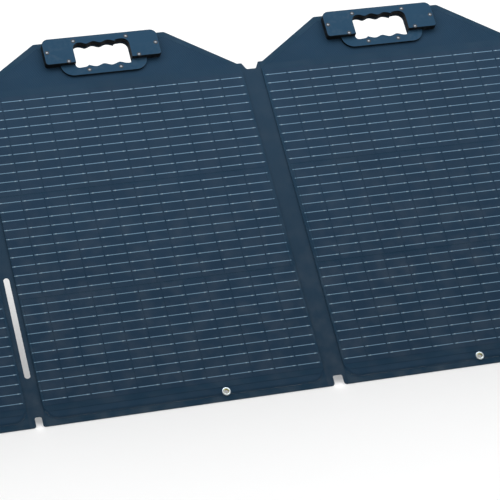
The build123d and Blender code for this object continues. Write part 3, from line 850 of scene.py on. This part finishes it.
class SOLARKIT_OT_cells(bpy.types.Operator):
    """Finish the cells and their backing sheet, and lay the tinned wires with their solder pads"""

    bl_idname = "solarkit.cells"
    bl_label = "Cells and wires"
    bl_options = {"REGISTER", "UNDO"}

    def execute(self, context):
        made = finishes()
        s = sizes()
        for k in PANELS:
            lay = panel_lay(k)
            finish_cad(f"laminate_{k}", made["field"])
            finish_cad(f"cells_{k}", made["cell"])
            finish_cad(f"ribbons_{k}", made["ribbon"])
            front = max(lay.read(v.co)[2] for v in NODES[f"cells_{k}"].data.vertices)
            found = face_loops(f"cells_{k}", lay, OUT)
            cells = sorted(
                (min(p[1] for p in c), min(p[0] for p in c), max(p[0] for p in c), max(p[1] for p in c)) for c in found
            )
            bottoms = sorted({round(c[0], 4) for c in cells})
            sense = 1 if k in (1, 2) else -1
            wires, pads = [], []
            for low, left, right, high in cells:
                row = bottoms.index(round(low, 4))
                way = sense if row != 1 else -sense
                in_row = [c for c in cells if round(c[0], 4) == bottoms[row]]
                last = max(in_row, key=lambda c: way * c[1])
                first = min(in_row, key=lambda c: way * c[1])
                start, end = (left, right) if way > 0 else (right, left)
                a, b = start + way * WIRE_START, end - way * WIRE_END
                if (low, left, right, high) == last:
                    b = end + way * WIRE_OVERRUN
                pitch = (high - low) / s.wire_count
                for n in range(s.wire_count):
                    up = low + (n + 0.5) * pitch + (n - (s.wire_count - 1) / 2) * -WIRE_CROWDING * MM
                    wires.append(((a + b) / 2, up, front, abs(b - a) / 2, s.wire_width / 2, s.wire_rise, 0.0))
                    at = b - way * (s.pad_length / 2 + PAD_BEFORE_END)
                    pads.append((at, up, front, s.pad_length / 2, s.wire_width * 0.62, s.wire_rise * 1.35, 0.0))
                    if (low, left, right, high) == first:
                        stub = start - way * STUB_BEFORE
                        wires.append((stub, up, front, STUB_HALF, s.wire_width / 2, s.wire_rise, 0.0))
            for name, rows, finish in (("wires", wires, "wire"), ("solder_pads", pads, "pad")):
                piece = bars(f"{name}_{k}", lay, rows, made[finish], slope=0.1)
                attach(piece, f"panel_{k}")
        return {"FINISHED"}


HINGES = (
    # label of the strip, its body, and its two fold lines with the panels beyond them
    ("hinge_left", "strip_left", (("fold_left_outer", 1), ("fold_left_inner", 2))),
    ("hinge_middle", "strip_middle", (("fold_middle_left", 2), ("fold_middle_right", 3))),
    ("hinge_right", "strip_right", (("fold_right_inner", 3), ("fold_right_outer", 4))),
)


class SOLARKIT_OT_hinges(bpy.types.Operator):
    """Cut the cloth hinges, each as two sheets, one on each side of the strip's middle line"""

    bl_idname = "solarkit.hinges"
    bl_label = "Cloth hinges"
    bl_options = {"REGISTER", "UNDO"}

    def execute(self, context):
        tuck = 2.2 * MM
        for label, body, folds in HINGES:
            lay = strip_lay(label)
            outline, *slots = face_loops(label, lay, OUT)
            half = max(abs(p[0]) for p in outline)
            for joint, panel in folds:
                side = -1 if JOINTS[joint]["pos_m"][0] < lay.origin.x else 1
                crease = abs(JOINTS[joint]["pos_m"][0] - lay.origin.x)
                outer = [
                    p if abs(abs(p[0]) - half) > 0.05 * MM else (side * (crease + tuck), p[1])
                    for p in self.one_side(outline, side)
                ]
                holes = [divided(self.one_side(slot, side), 8 * MM) for slot in slots]
                columns = [side * x for x in np.arange(1.5 * MM, crease + tuck, 1.0 * MM)]
                rows = np.arange(4 * MM, 0.6, 8 * MM)
                cut = cut_sheet(divided(outer, 8 * MM), holes, columns=columns, rows=rows)

                def top(p, crease=crease):
                    away = np.abs(p[:, 0])
                    crown = 0.95 + 0.6 * np.cos(np.clip(away / crease, 0, 1) * math.pi / 2) ** 2
                    return (crown + 0.2 * eased(away, crease, crease + tuck)) * MM

                piece = slab(
                    f"{label}_{'left' if side < 0 else 'right'}_cloth", lay, cut, top,
                    lambda p, top=top: top(p) - 0.75 * MM, finishes()["hinge"],
                )
                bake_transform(piece)
                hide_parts(label)
                abs(area(outer)) - sum(abs(area(hole)) for hole in holes)
        return {"FINISHED"}

    @staticmethod
    def one_side(loop, side):
        """The part of a loop on one side of the strip's middle line."""
        made = []
        for (ax, ay), (bx, by) in zip(loop, loop[1:] + loop[:1]):
            if ax * side >= 0:
                made.append((ax, ay))
            if ax * bx < 0:
                made.append((0.0, ay + (by - ay) * ax / (ax - bx)))
        return made


class SOLARKIT_OT_grips(bpy.types.Operator):
    """Finish the grips, with painted shade on their sides, and set their rivets in dark rings of painted shade"""

    bl_idname = "solarkit.grips"
    bl_label = "Grips and rivets"
    bl_options = {"REGISTER", "UNDO"}

    def execute(self, context):
        made = finishes()
        for k in PANELS:
            lay = panel_lay(k)
            for name in ("grip_bar", "boat_plate", "back_plate"):
                finish_cad(f"{name}_{k}", made["grip"])
                soften_cad(f"{name}_{k}")
            heads, shade_rings = [], []
            for facing in (OUT, -OUT):
                for loop in face_loops(f"rivets_{k}", lay, facing):
                    across, up = np.array(loop).mean(0)
                    heights = [
                        lay.read(v.co)[2] for v in NODES[f"rivets_{k}"].data.vertices
                        if math.dist(lay.read(v.co)[:2], (across, up)) < 3 * MM
                    ]
                    end = max(heights) if facing == OUT else min(heights)
                    heads.append((across, up, round(end, 5), facing == OUT))
            dome, radius, shank = 0.6 * MM, 2.0 * MM, 1.2 * MM
            spots, rivets = {}, []
            for across, up, height, front in heads:
                spots.setdefault((round(across, 4), round(up, 4)), {})[front] = height
            shafts = [(a, u, h[True], h[False]) for (a, u), h in spots.items() if len(h) == 2]
            for across, up, high, low in shafts:
                front, back = high - dome, low + dome
                profile = [(0, high), (0.8 * MM, high - 0.04 * MM), (1.4 * MM, high - 0.2 * MM),
                           (1.8 * MM, high - 0.42 * MM), (radius, front), (shank, front), (shank, back),
                           (radius, back), (1.8 * MM, low + 0.42 * MM), (1.4 * MM, low + 0.2 * MM),
                           (0.8 * MM, low + 0.04 * MM), (0, low)]
                rivets.append((across, up, profile))
                # A ring of painted shade goes round each end of the rivet, where its head meets the plate.
                shade_rings += [(across, up, front, 1), (across, up, back, -1)]
            self.set_rivets(k, lay, rivets, made["rivet"])
            self.set_shade_rings(k, lay, shade_rings, made["recess"])
        return {"FINISHED"}

    @staticmethod
    def set_rivets(k, lay, rivets, finish):
        groups = {}
        for across, up, profile in rivets:
            groups.setdefault(tuple(profile), []).append((across, up, 0.0))
        for number, (profile, spots) in enumerate(sorted(groups.items(), key=lambda g: g[1])):
            piece = turned_rings(f"rivets_{'bar' if number == 0 else 'plate'}_{k}", lay, spots, profile[::-1], finish)
            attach(piece, f"panel_{k}")
            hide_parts(f"rivets_{k}")

    @staticmethod
    def set_shade_rings(k, lay, shade_rings, finish):
        # A low near-black ring round each rivet head: painted shade where the head meets the plate.
        ring = [(2.05, 0.0), (3.6, 0.0), (3.4, 0.22), (2.9, 0.34), (2.3, 0.26), (2.05, 0.1)]
        for label, way in (("front", 1), ("rear", -1)):
            profile = [(r * MM, way * h * MM) for r, h in ring][::way]
            spots = [(a, u, h) for a, u, h, w in shade_rings if w == way]
            piece = turned_rings(f"rivet_shade_rings_{label}_{k}", lay, spots, profile, finish, closed=True)
            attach(piece, f"panel_{k}")


class SOLARKIT_OT_eyelets(bpy.types.Operator):
    """Turn the rolled eyelets: bright flanges on brass barrels"""

    bl_idname = "solarkit.eyelets"
    bl_label = "Eyelets"
    bl_options = {"REGISTER", "UNDO"}

    def execute(self, context):
        made = finishes()
        for k in PANELS:
            lay = panel_lay(k)
            loops = face_loops(f"eyelet_{k}", lay, OUT)
            across, up = np.array(loops[0]).mean(0)
            flange = max(math.dist(p, (across, up)) for p in loops[0]) - 0.6 * MM
            bore = min(math.dist(p, (across, up)) for loop in loops for p in loop)
            heights = [lay.read(v.co)[2] for v in NODES[f"eyelet_{k}"].data.vertices]
            top, bottom, lip = max(heights), min(heights), 0.8 * MM
            rolls = []
            for face, way in ((top, 1), (bottom, -1)):
                seat = face - way * lip
                ring = [
                    (bore + 0.05 * MM, seat), (flange, seat), (flange - 0.1 * MM, seat + way * 0.35 * MM),
                    (flange - 0.8 * MM, face - way * 0.12 * MM), (flange - 1.7 * MM, face),
                    (bore + 0.9 * MM, face - way * 0.15 * MM), (bore + 0.2 * MM, face - way * 0.45 * MM),
                ]
                rolls.append(ring[::way])
            for label, ring in zip(("front", "rear"), rolls):
                piece = turned_rings(f"eyelet_{label}_{k}", lay, [(across, up, 0)], ring, made["steel"], 40, True)
                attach(piece, f"panel_{k}")
                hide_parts(f"eyelet_{k}")
            wall = 0.8 * MM
            tube = [(bore, bottom + 0.3 * MM), (bore + wall, bottom + 0.6 * MM), (bore + wall, top - 0.6 * MM),
                    (bore, top - 0.3 * MM)]
            piece = turned_rings(f"eyelet_barrel_{k}", lay, [(across, up, 0)], tube, made["brass"], 40, True)
            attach(piece, f"panel_{k}")
        return {"FINISHED"}


class SOLARKIT_OT_stands(bpy.types.Operator):
    """Make the cloth-covered rear stands, their hanging tapes, feet and straps"""

    bl_idname = "solarkit.stands"
    bl_label = "Rear stands"
    bl_options = {"REGISTER", "UNDO"}

    def execute(self, context):
        made = finishes()
        for side, k in (("left", 1), ("right", 4)):
            leg, lay = leg_lay(side), panel_lay(k)
            node = f"stand_board_{side}"
            outer = divided(face_loops(node, leg, leg.out)[0], 14 * MM)
            thick = max(leg.read(v.co)[2] for v in NODES[node].data.vertices)
            guides = [moved_in(outer, d * MM) for d in (0.8, 5.0, 6.0, 7.0, 8.0)]
            cut = cut_sheet(outer, (), guides, np.arange(-0.09, 0.091, 0.03), np.arange(-0.32, -0.01, 0.03))

            def face(p, outer=outer, thick=thick):
                rim = depth_in(p, outer) / MM
                groove = np.exp(-((rim - 6.5) / 0.7) ** 2)
                return thick - 0.7 * MM * (1 - eased(rim, 0.0, 0.9)) - 0.3 * MM * groove

            board = slab(f"stand_cover_{side}", leg, cut, face, lambda p, face=face: -face(p), made["stand"])
            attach(board, f"stand_{side}")
            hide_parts(node)
            finish_cad(f"stand_foot_{side}", made["rubber"])
            soften_cad(f"stand_foot_{side}", 0.8 * MM)
            self.sew_board(side, leg, outer, thick)
            self.hang(side, k, lay, leg, thick)
            self.strap(side, k, lay)
        return {"FINISHED"}

    @staticmethod
    def sew_board(side, leg, outer, thick):
        line = moved_in(outer, 10 * MM)
        rows = stitch_rows([*line, line[0]], thick - 0.05 * MM) + stitch_rows([*line, line[0]], -thick + 0.05 * MM)
        piece = bars(f"stand_stitches_{side}", leg, rows, finishes()["thread"])
        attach(piece, f"stand_{side}")

    @staticmethod
    def hang(side, k, lay, leg, thick):
        """The tape that hangs the board: sewn to the panel, then over the board's top and down its rear face."""
        left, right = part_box(f"stand_tape_{side}")
        half = (right.x - left.x) / 2
        tape = [lay.read(v.co) for v in NODES[f"stand_tape_{side}"].data.vertices]
        top, bottom = max(p[1] for p in tape), min(p[1] for p in tape)
        pivot = Vector(leg.origin)
        across, _, pivot_out = lay.read(pivot)
        radius = abs(pivot_out) - 0.5 * MM
        line = [lay.origin + UP * u - OUT * 0.5 * MM for u in np.linspace(top, bottom, 7)]
        end = -leg.out
        angle = OUT.angle(end)
        sense = 1 if (Matrix.Rotation(angle, 3, -ACROSS) @ OUT).dot(end) > 0.99 else -1
        for share in np.linspace(0, 1, 10):
            spoke = Matrix.Rotation(sense * angle * share, 3, -ACROSS) @ OUT
            line.append(pivot - ACROSS * across + spoke * radius)
        for down in np.linspace(4 * MM, 26 * MM, 6):
            line.append(pivot - ACROSS * across - leg.up * down - leg.out * (thick + 0.6 * MM))
        line = [Vector((0, p.y, p.z)) for p in line]
        flat = Lay((CENTRE[k], 0, 0), (0, 1, 0), (0, 0, 1))
        xs = np.linspace(-half, half, 21)
        points, faces = [], []
        for shift in (0.4 * MM, -0.4 * MM):
            for i, p in enumerate(line):
                ahead = (line[min(i + 1, len(line) - 1)] - line[max(i - 1, 0)]).normalized()
                normal = ACROSS.cross(ahead)
                q = p + normal * shift
                points += [(x, q.y, q.z) for x in xs]
        n, m = len(line), len(xs)
        for i in range(n - 1):
            for j in range(m - 1):
                a = i * m + j
                faces.append((a, a + 1, a + m + 1, a + m))
                b = a + n * m
                faces.append((b + m, b + m + 1, b + 1, b))
        for i in range(n - 1):
            for j in (0, m - 1):
                a, b = i * m + j, (i + 1) * m + j
                faces.append((a, b, b + n * m, a + n * m) if j == 0 else (b, a, a + n * m, b + n * m))
        for j in range(m - 1):
            for i in (0, n - 1):
                a, b = i * m + j, i * m + j + 1
                faces.append((b, a, a + n * m, b + n * m) if i == 0 else (a, b, b + n * m, a + n * m))
        piece = new_piece(f"stand_tape_{side}_cloth", flat, points, faces, finishes()["webbing"])
        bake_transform(piece)
        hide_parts(f"stand_tape_{side}")
        run = sum((b - a).length for a, b in zip(line, line[1:]))
        rows = []
        for up in (top - 3 * MM, bottom + 6 * MM):
            rows += stitch_rows([(-half + 3 * MM, up), (half - 3 * MM, up)], -0.85 * MM)
        piece = bars(f"tape_stitches_{side}", lay, rows, finishes()["thread"])
        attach(piece, f"panel_{k}")

    @staticmethod
    def strap(side, k, lay):
        """The webbing that stops the open stand, with a sewn patch on the panel's back."""
        node = NODES[f"stand_strap_{side}"]
        places = np.array([v.co for v in node.data.vertices])
        start = Vector(places[places[:, 1] < places[:, 1].min() + 3 * MM].mean(0))
        end = Vector(places[places[:, 1] > places[:, 1].max() - 3 * MM].mean(0))
        run = (end - start).length
        way = (end - start).normalized()
        half = (places[:, 0].max() - places[:, 0].min()) / 2
        strap = Lay(start, way, ACROSS.cross(way))
        outer = divided([(-half, 0), (half, 0), (half, run), (-half, run)], 6 * MM)
        lines = np.arange(-half + 1.25 * MM, half, 1.25 * MM)
        cut = cut_sheet(outer, (), (), lines, np.arange(4 * MM, run, 8 * MM))

        def face(p):
            selvedge = np.exp(-(((np.abs(p[:, 0]) - half) / (1.2 * MM)) ** 2))
            return 0.45 * MM + 0.05 * MM * np.cos(p[:, 0] / (2.5 * MM) * 2 * math.pi) - 0.15 * MM * selvedge

        piece = slab(f"stand_strap_{side}_web", strap, cut, face, lambda p: -face(p), finishes()["webbing"])
        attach(piece, f"panel_{k}")
        tuple(lay.origin)
        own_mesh(piece)
        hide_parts(f"stand_strap_{side}")
        up = lay.read(start)[1]
        side_x, foot, head = 17 * MM, up - 34 * MM, up + 2 * MM
        patch = divided([(-side_x, foot), (side_x, foot), (side_x, head), (-side_x, head)], 4 * MM)
        cut = cut_sheet(patch, (), [moved_in(patch, 1 * MM)], np.arange(-0.012, 0.0121, 0.004), ())
        piece = slab(
            f"strap_patch_{side}", lay, cut, lambda p: np.zeros(len(p)),
            lambda p: -0.9 * MM + 0.3 * MM * (1 - eased(depth_in(p, patch), 0, 1 * MM)), finishes()["webbing"],
        )
        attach(piece, f"panel_{k}")
        x, y0, y1 = 14 * MM, up - 31 * MM, up - 1 * MM
        box = [(-x, y0), (x, y0), (x, y1), (-x, y1), (-x, y0), (x, y1)]
        rows = stitch_rows(box, -0.9 * MM, 3.6 * MM) + stitch_rows([(-x, y1), (x, y0)], -0.9 * MM, 3.6 * MM)
        piece = bars(f"patch_stitches_{side}", lay, rows, finishes()["thread"])
        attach(piece, f"panel_{k}")


class SOLARKIT_OT_junction_box(bpy.types.Operator):
    """Finish the junction box, and add its lid screws and ribs"""

    bl_idname = "solarkit.junction_box"
    bl_label = "Junction box"
    bl_options = {"REGISTER", "UNDO"}

    def execute(self, context):
        made = finishes()
        lay = panel_lay(4)
        for node in ("junction_box", "junction_lid", "output_sockets"):
            finish_cad(node, made["box"])
            soften_cad(node, 0.4 * MM)
        lid = [lay.read(v.co) for v in NODES["junction_lid"].data.vertices]
        face = min(p[2] for p in lid)
        left, right = min(p[0] for p in lid), max(p[0] for p in lid)
        low, high = min(p[1] for p in lid), max(p[1] for p in lid)
        inset = 7 * MM
        spots = [(x, y, face) for x in (left + inset, right - inset) for y in (low + inset, high - inset)]
        head = [(0, -0.1), (0.9, -0.1), (1.0, -0.42), (2.5, -0.34), (2.9, 0.0), (2.9, 0.4), (0, 0.4)]
        piece = turned_rings("lid_screws", lay, spots, [(r * MM, h * MM) for r, h in head], made["steel"])
        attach(piece, "panel_4")
        rows = [
            ((left + right) / 2 + n * 7 * MM, (low + high) / 2, face + 0.05 * MM, 15 * MM, 1.2 * MM, -0.45 * MM,
             math.pi / 2)
            for n in range(-4, 5)
        ]
        piece = bars("lid_ribs", lay, rows, made["box"])
        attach(piece, "panel_4")
        return {"FINISHED"}


class SOLARKIT_OT_pouch(bpy.types.Operator):
    """Fill the zipped lead pouch by a short cloth simulation"""

    bl_idname = "solarkit.pouch"
    bl_label = "Lead pouch"
    bl_options = {"REGISTER", "UNDO"}

    def execute(self, context):
        scene = bpy.context.scene
        lay = panel_lay(1)
        source = NODES["lead_pouch"]
        pouch = bpy.data.objects.new("lead_pouch_cloth", source.data.copy())
        scene.collection.objects.link(pouch)
        kit_collection().objects.link(pouch)
        remesh = pouch.modifiers.new("remesh", "REMESH")
        remesh.mode, remesh.voxel_size = "VOXEL", 4 * MM
        self.apply(pouch)
        rest = np.array([v.co for v in pouch.data.vertices])
        heights = np.array([lay.read(p)[2] for p in rest])
        pinned = pouch.vertex_groups.new(name="sewn")
        pinned.add([int(i) for i in np.nonzero(heights > -1.5 * MM)[0]], 1.0, "REPLACE")
        cloth_mod = pouch.modifiers.new("cloth", "CLOTH")
        cloth_mod.settings.use_pressure = True
        cloth_mod.settings.uniform_pressure_force = 4 * sizes().pouch_fill
        cloth_mod.settings.vertex_group_mass = "sewn"
        cloth_mod.settings.effector_weights.gravity = 0
        cloth_mod.settings.quality = 6
        for step in range(1, 21):
            scene.frame_set(step)
        self.apply(pouch)
        scene.frame_set(1)
        moved = np.array([v.co for v in pouch.data.vertices]) - rest
        size = np.linalg.norm(moved, axis=1)[:, None]
        cap = 4 * MM
        places = rest + moved * np.minimum(1, cap / np.maximum(size, 1e-9))
        flat = np.array([lay.read(p) for p in places])
        flat[:, 2] = np.minimum(flat[:, 2], -0.02 * MM)
        crumple = np.sin(flat[:, 0] * 95 + 2 * np.sin(flat[:, 1] * 60)) * np.sin(flat[:, 1] * 130 + 1.2)
        lift = np.clip(-flat[:, 2] / (12 * MM), 0, 1)
        flat[:, 2] -= crumple * lift * 0.5 * MM
        pouch.data.vertices.foreach_set("co", lay.put(flat).ravel())
        cut = pouch.data.attributes.new("cut", "FLOAT_VECTOR", "POINT")
        cut.data.foreach_set("vector", flat.astype(np.float32).ravel())
        smooth = pouch.modifiers.new("smooth", "SUBSURF")
        smooth.levels = smooth.render_levels = 1
        self.apply(pouch)
        pouch.data.polygons.foreach_set("use_smooth", [True] * len(pouch.data.polygons))
        pouch.data.materials.clear()
        pouch.data.materials.append(finishes()["pouch"])
        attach(pouch, "panel_1")
        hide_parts("lead_pouch")
        self.add_zip(lay, np.array([lay.read(v.co) for v in pouch.data.vertices]))
        return {"FINISHED"}

    @staticmethod
    def apply(obj):
        graph = bpy.context.evaluated_depsgraph_get()
        made = bpy.data.meshes.new_from_object(obj.evaluated_get(graph))
        obj.modifiers.clear()
        obj.data = made

    @staticmethod
    def add_zip(lay, surface):
        """Tape, teeth and a puller along the pouch's upper third."""
        left, right = surface[:, 0].min() + 18 * MM, surface[:, 0].max() - 18 * MM
        up = surface[:, 1].max() - 24 * MM
        xs = np.arange(left, right, 2.0 * MM)
        band = surface[np.abs(surface[:, 1] - up) < 4 * MM]
        heights = np.array([band[np.abs(band[:, 0] - x) < 4 * MM][:, 2].min() for x in xs])
        heights = np.convolve(np.pad(heights, 4, mode="edge"), np.ones(9) / 9, mode="valid")
        made = finishes()
        tape, teeth = [], []
        for x, h in zip(xs, heights):
            tape.append((x, up, h + 0.1 * MM, 1.05 * MM, 5.5 * MM, -0.5 * MM, 0.0))
            teeth.append((x, up, h - 0.35 * MM, 1.8 * MM, 0.6 * MM, -0.7 * MM, math.pi / 2))
        pull = (left + 12 * MM, up - 5 * MM, heights[5] - 1.1 * MM, 9 * MM, 2.6 * MM, -1.0 * MM, 1.35)
        for name, rows, finish in (("zip_tape", tape, "webbing"), ("zip_teeth", teeth, "zip"),
                                   ("zip_puller", [pull], "steel")):
            piece = bars(name, lay, rows, made[finish], slope=0.05 if name == "zip_tape" else 0.3)
            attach(piece, "panel_1")


# ---- panel in the sidebar, and the add-on's own ends -----------------------------------------------------------------


OPERATORS = (
    SOLARKIT_OT_stage, SOLARKIT_OT_covers, SOLARKIT_OT_cells, SOLARKIT_OT_hinges, SOLARKIT_OT_grips,
    SOLARKIT_OT_eyelets, SOLARKIT_OT_stands, SOLARKIT_OT_junction_box, SOLARKIT_OT_pouch,
)


class SOLARKIT_PT_sidebar(bpy.types.Panel):
    bl_idname = "SOLARKIT_PT_sidebar"
    bl_label = "Solar kit"
    bl_space_type = "VIEW_3D"
    bl_region_type = "UI"
    bl_category = "Solar kit"

    def draw(self, context):
        for operator in OPERATORS:
            self.layout.operator(operator.bl_idname)
        for group in (context.scene.solar_kit_sizes, context.scene.solar_kit_colours):
            for name in type(group).__annotations__:
                self.layout.prop(group, name)


def register():
    for one in (SolarKitSizes, SolarKitColours, *OPERATORS, SOLARKIT_PT_sidebar):
        bpy.utils.register_class(one)
    bpy.types.Scene.solar_kit_sizes = PointerProperty(type=SolarKitSizes)
    bpy.types.Scene.solar_kit_colours = PointerProperty(type=SolarKitColours)


def unregister():
    del bpy.types.Scene.solar_kit_colours
    del bpy.types.Scene.solar_kit_sizes
    for one in (SOLARKIT_PT_sidebar, *reversed(OPERATORS), SolarKitColours, SolarKitSizes):
        bpy.utils.unregister_class(one)


def main():
    register()
    for operator in OPERATORS:
        group, name = operator.bl_idname.split(".")
        if getattr(getattr(bpy.ops, group), name)() != {"FINISHED"}:
            raise RuntimeError(f"{operator.bl_label} didn't finish")


if __name__ == "__main__":
    main()
